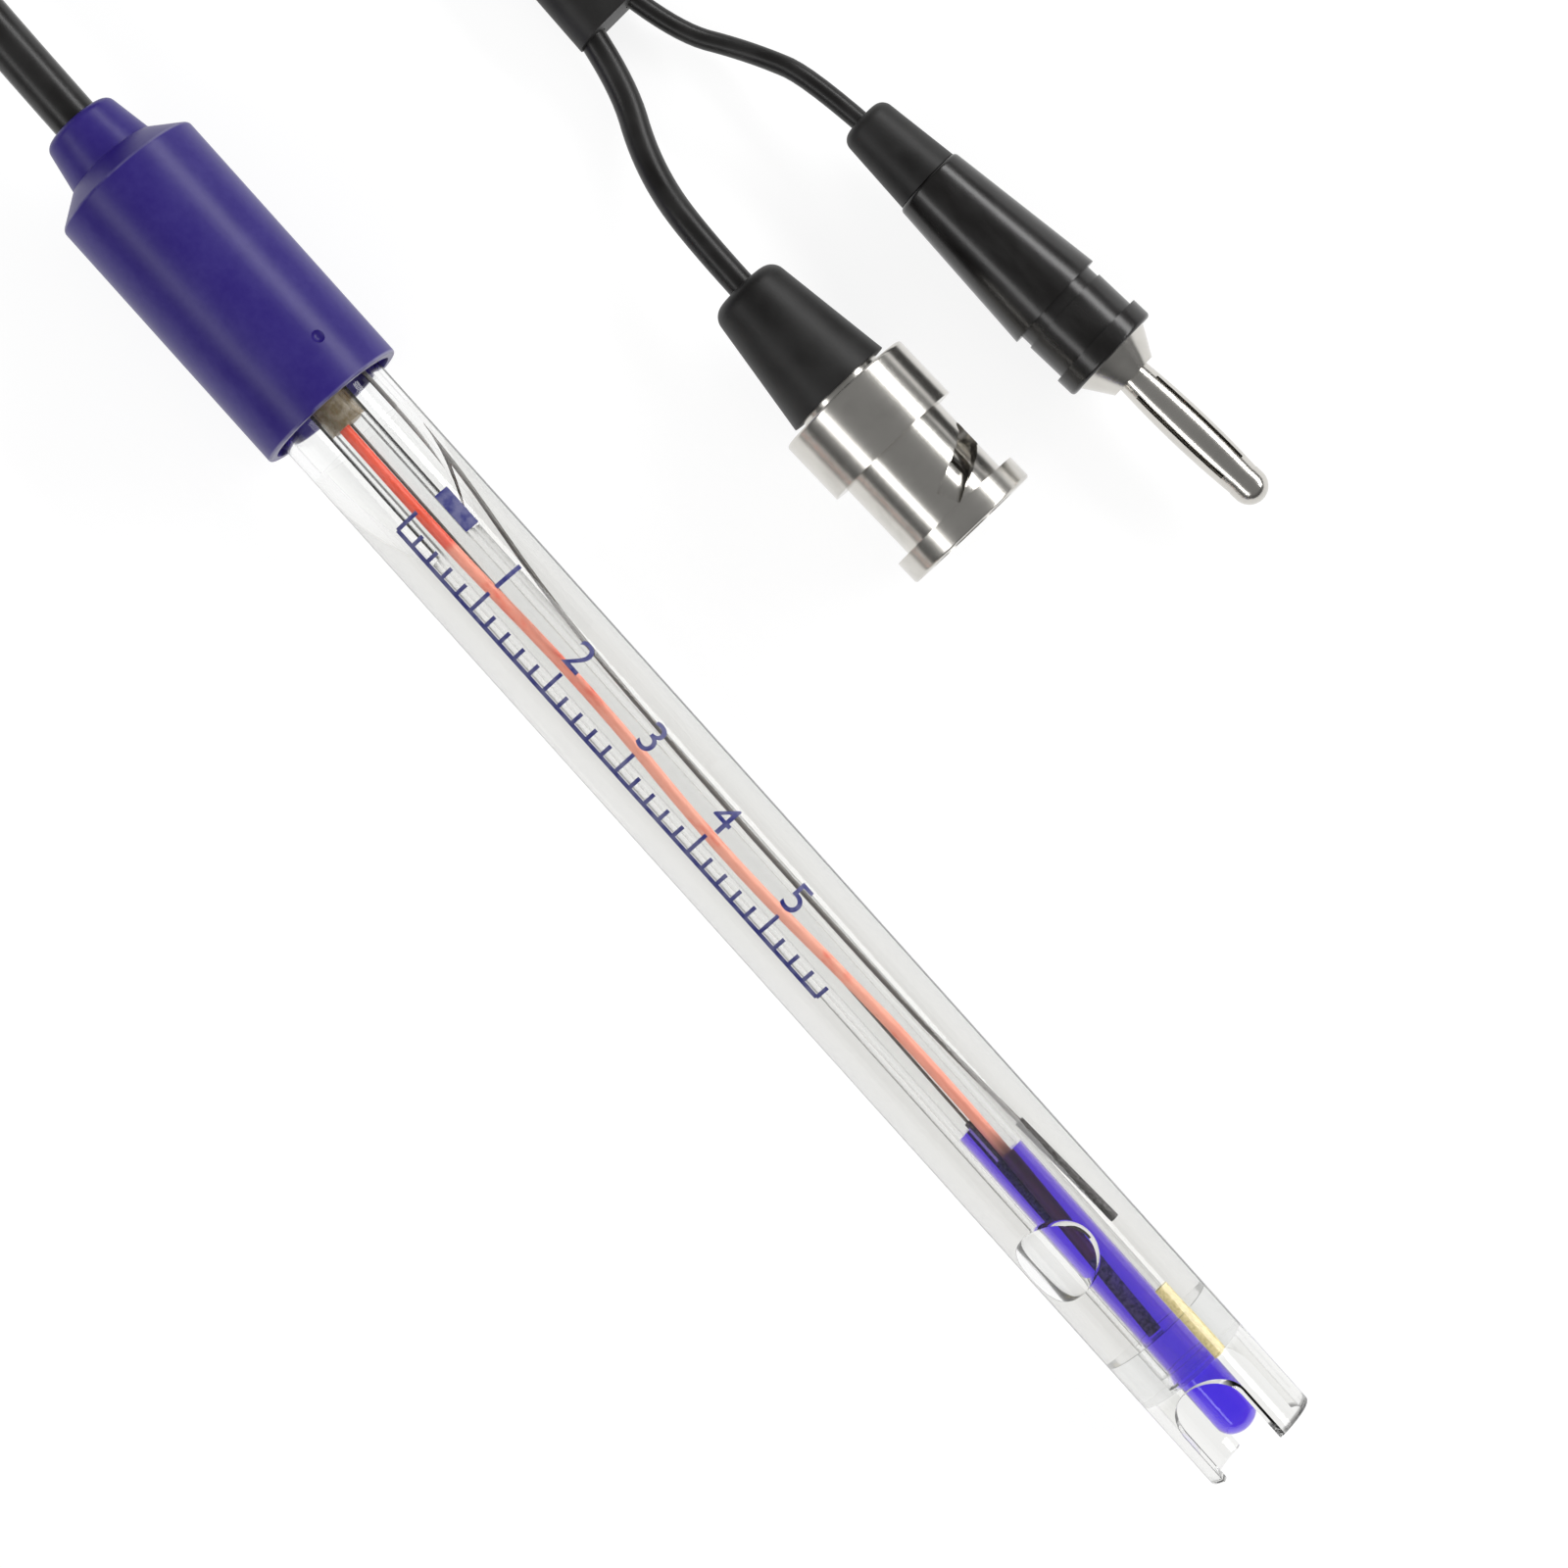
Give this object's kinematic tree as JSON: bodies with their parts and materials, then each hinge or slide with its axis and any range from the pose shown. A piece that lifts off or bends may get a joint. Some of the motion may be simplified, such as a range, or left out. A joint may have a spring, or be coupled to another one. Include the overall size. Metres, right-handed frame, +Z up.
{
  "type": "ph electrode",
  "caption": "Clear tube electrode with a violet head cap, glass bulb in a slotted guard, and a coiled cable that splits to a bayonet plug and a banana plug.",
  "frame": {"origin": "centre of the electrode's footprint on the surface it lies on, cable and plugs left out", "axes": "+X along the electrode from its cap to its bulb, +Y to the plugs' side, +Z up"},
  "size_m": [0.256, 0.0728, 0.016],
  "materials": {
    "cap_violet": "moulded violet plastic, satin",
    "clear_body": "clear rigid plastic, polished",
    "stem_glass": "clear drawn glass",
    "membrane_glass": "thin pH-sensitive glass",
    "clear_gel": "clear electrolyte gel",
    "blue_buffer": "blue liquid",
    "resin": "amber potting resin",
    "grey_rubber": "soft pale grey",
    "end_resin": "clear cured seal",
    "junction_ceramic": "porous pale yellow",
    "silver_wire": "drawn silver wire",
    "silver_chloride": "dark chloride coating",
    "orange_lead": "orange insulated lead",
    "sensor_dark": "dark sensor bead",
    "cable_black": "black cable jacket, satin",
    "boot_black": "black moulded boot",
    "nickel": "nickel plated",
    "spring_steel": "bright spring steel",
    "insulator_white": "white insulator",
    "gasket_red": "soft gasket",
    "gold_contact": "gold plated contact",
    "plug_plastic": "moulded plug handle"
  },
  "bodies": {
    "root": {"body_tube": "clear_body", "head_cap": "cap_violet", "cap_potting": "resin", "glass_stem": "stem_glass", "glass_membrane": "membrane_glass", "top_bung": "grey_rubber", "stem_bung": "resin", "end_seal": "end_resin", "junction_pin": "junction_ceramic", "reference_gel": "clear_gel", "reference_wire": "silver_wire", "reference_wire_tip": "silver_chloride", "inner_buffer": "blue_buffer", "inner_wire": "silver_wire", "inner_wire_tip": "silver_chloride", "sensor_lead": "orange_lead", "temperature_sensor": "sensor_dark", "bnc_boot": "boot_black", "bnc_body": "nickel", "bnc_insulator": "insulator_white", "bnc_gasket": "gasket_red", "bnc_centre_pin": "gold_contact", "bnc_wave_spring": "spring_steel", "banana_boot": "boot_black", "banana_handle": "plug_plastic", "banana_collar": "plug_plastic", "banana_stem": "nickel", "banana_contact_spring": "nickel", "cable_start": "cable_black", "cable_coil": "cable_black", "cable_end": "cable_black", "splitter": "boot_black", "coax_lead": "cable_black", "thin_lead": "cable_black"},
    "bnc_washer_body": {"bnc_thrust_washer": "nickel"},
    "bnc_coupling": {"bnc_sleeve": "nickel", "bnc_retaining_ring": "nickel"}
  },
  "joints": [
    {"name": "bnc_sleeve_push", "type": "slide", "parent": "root", "child": "bnc_washer_body", "axis": [0.9996, 0.0297, 0], "range_m": [0, 0.0012], "stiffness_N_per_m": 2000, "deforming": ["bnc_wave_spring"]},
    {"name": "bnc_sleeve_turn", "type": "hinge", "parent": "bnc_washer_body", "child": "bnc_coupling", "pos_m": [-0.01021, 0.03659, 0.00725], "axis": [0.9996, 0.0297, 0], "continuous": true}
  ]
}
